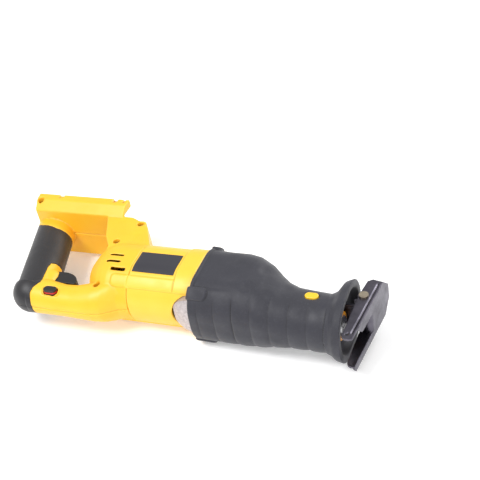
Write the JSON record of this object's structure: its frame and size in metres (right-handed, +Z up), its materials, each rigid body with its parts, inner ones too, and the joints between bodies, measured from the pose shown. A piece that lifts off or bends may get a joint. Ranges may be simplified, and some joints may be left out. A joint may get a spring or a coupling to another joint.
{
  "type": "reciprocating saw",
  "caption": "Cordless reciprocating saw lying on its side: D handle, motor barrel, rubber boot over the gear case, wobble-driven plunger with blade clamp, and pivoting shoe.",
  "frame": {"origin": "middle of the base of the box, on the surface the saw lies on", "axes": "+X forward along the plunger to the blade end, +Y from the tool's top edge to its battery foot, +Z up through the tool's left side"},
  "size_m": [0.4238, 0.1598, 0.074],
  "materials": {
    "yellow_shell": "moulded glass-filled nylon, satin",
    "yellow_barrel": "moulded glass-filled nylon, satin",
    "grip_rubber": "overmoulded elastomer, matt",
    "boot_rubber": "moulded elastomer, matt",
    "label_film": "plain dark plate",
    "black_plastic": "moulded nylon, satin",
    "red_plastic": "moulded",
    "yellow_button": "moulded",
    "orange_lever": "moulded",
    "cast_aluminium": "sand-textured casting",
    "machined_steel": "ground",
    "stamped_steel": "stamped, black-nickel finish",
    "screw_steel": "zinc plated",
    "spring_steel": "drawn wire",
    "bearing_steel": "ground and polished",
    "sintered_bronze": "sintered",
    "felt": "pressed felt",
    "copper": "enamelled wire and segments",
    "contact_brass": "pressed sheet",
    "electrical_steel": "laminated",
    "ferrite": "fired",
    "carbon": "pressed graphite"
  },
  "bodies": {
    "housing": {"handle_shell_left": "yellow_shell", "handle_shell_right": "yellow_shell", "grip_rubber_left": "grip_rubber", "grip_rubber_right": "grip_rubber", "motor_barrel": "yellow_barrel", "label_plate": "label_film", "housing_screws": "screw_steel", "terminal_block": "black_plastic", "terminal_blades": "contact_brass", "motor_controller": "black_plastic", "switch_body": "black_plastic", "trigger_spring": "spring_steel", "motor_can": "electrical_steel", "motor_magnets": "ferrite", "brush_ring": "black_plastic", "brush_holders": "contact_brass", "carbon_brushes": "carbon", "motor_rear_bearing": "bearing_steel", "motor_front_bearing": "bearing_steel", "gear_case": "cast_aluminium", "bearing_plate": "cast_aluminium", "gear_case_screws": "screw_steel", "plunger_rear_bushing": "sintered_bronze", "plunger_front_bushing": "sintered_bronze", "plunger_wiper": "felt", "jackshaft_rear_bearing": "bearing_steel", "jackshaft_front_bearing": "bearing_steel", "rubber_boot": "boot_rubber", "latch_spring": "spring_steel"},
    "trigger": {"trigger": "black_plastic"},
    "lock_off": {"lock_button": "black_plastic", "lock_ring": "red_plastic"},
    "armature": {"motor_shaft": "machined_steel", "armature_core": "electrical_steel", "armature_windings": "copper", "commutator": "copper", "cooling_fan": "black_plastic", "drive_pinion": "machined_steel"},
    "jackshaft_group": {"jackshaft": "machined_steel", "drive_gear": "machined_steel", "wobble_drum": "machined_steel", "wobble_balls": "bearing_steel"},
    "wobble_arm": {"wobble_arm": "machined_steel"},
    "plunger_group": {"plunger": "machined_steel", "blade_clamp": "machined_steel", "clamp_pin": "machined_steel", "clamp_spring": "spring_steel"},
    "clamp_lever": {"clamp_lever": "orange_lever"},
    "shoe_post": {"shoe_post": "stamped_steel"},
    "shoe_group": {"shoe": "stamped_steel", "shoe_rivet": "screw_steel"},
    "shoe_latch": {"shoe_latch": "yellow_button"}
  },
  "joints": [
    {"name": "trigger_pull", "type": "slide", "parent": "housing", "child": "trigger", "axis": [-1, 0, 0], "range_m": [0, 0.007], "stiffness_N_per_m": 400, "springref_m": -0.004, "deforming": ["trigger_spring"]},
    {"name": "lock_off_push", "type": "slide", "parent": "housing", "child": "lock_off", "axis": [0, 0, -1], "range_m": [0, 0.006]},
    {"name": "motor_spin", "type": "hinge", "parent": "housing", "child": "armature", "pos_m": [-0.00248, -0.01278, 0.037], "axis": [1, 0, 0], "continuous": true},
    {"name": "jackshaft_spin", "type": "hinge", "parent": "housing", "child": "jackshaft_group", "pos_m": [-0.00248, 0.00282, 0.037], "axis": [1, 0, 0], "continuous": true},
    {"name": "plunger_stroke", "type": "slide", "parent": "housing", "child": "plunger_group", "axis": [1, 0, 0], "range_m": [-0.0143, 0.0143]},
    {"name": "wobble_swing", "type": "hinge", "parent": "housing", "child": "wobble_arm", "pos_m": [0.07352, 0.00282, 0.037], "axis": [0, 0, 1], "range_deg": [-18.84, 18.84]},
    {"name": "clamp_twist", "type": "hinge", "parent": "plunger_group", "child": "clamp_lever", "pos_m": [0.16442, -0.04158, 0.037], "axis": [1, 0, 0], "range_deg": [0, 60], "stiffness_Nm_per_rad": 0.05, "springref_deg": -22.92},
    {"name": "shoe_extend", "type": "slide", "parent": "housing", "child": "shoe_post", "axis": [1, 0, 0], "range_m": [0, 0.019]},
    {"name": "shoe_pivot", "type": "hinge", "parent": "shoe_post", "child": "shoe_group", "pos_m": [0.19702, -0.01958, 0.037], "axis": [0, 0, 1], "range_deg": [-2, 20]},
    {"name": "shoe_latch_press", "type": "slide", "parent": "housing", "child": "shoe_latch", "axis": [0, 0, -1], "range_m": [0, 0.0025], "stiffness_N_per_m": 600, "springref_m": -0.002, "deforming": ["latch_spring"]}
  ],
  "couplings": [
    {"joint": "jackshaft_spin", "follows": "motor_spin", "ratio": -0.3},
    {"joint": "wobble_swing", "follows": "plunger_stroke", "rad_per_m": 22.931}
  ]
}
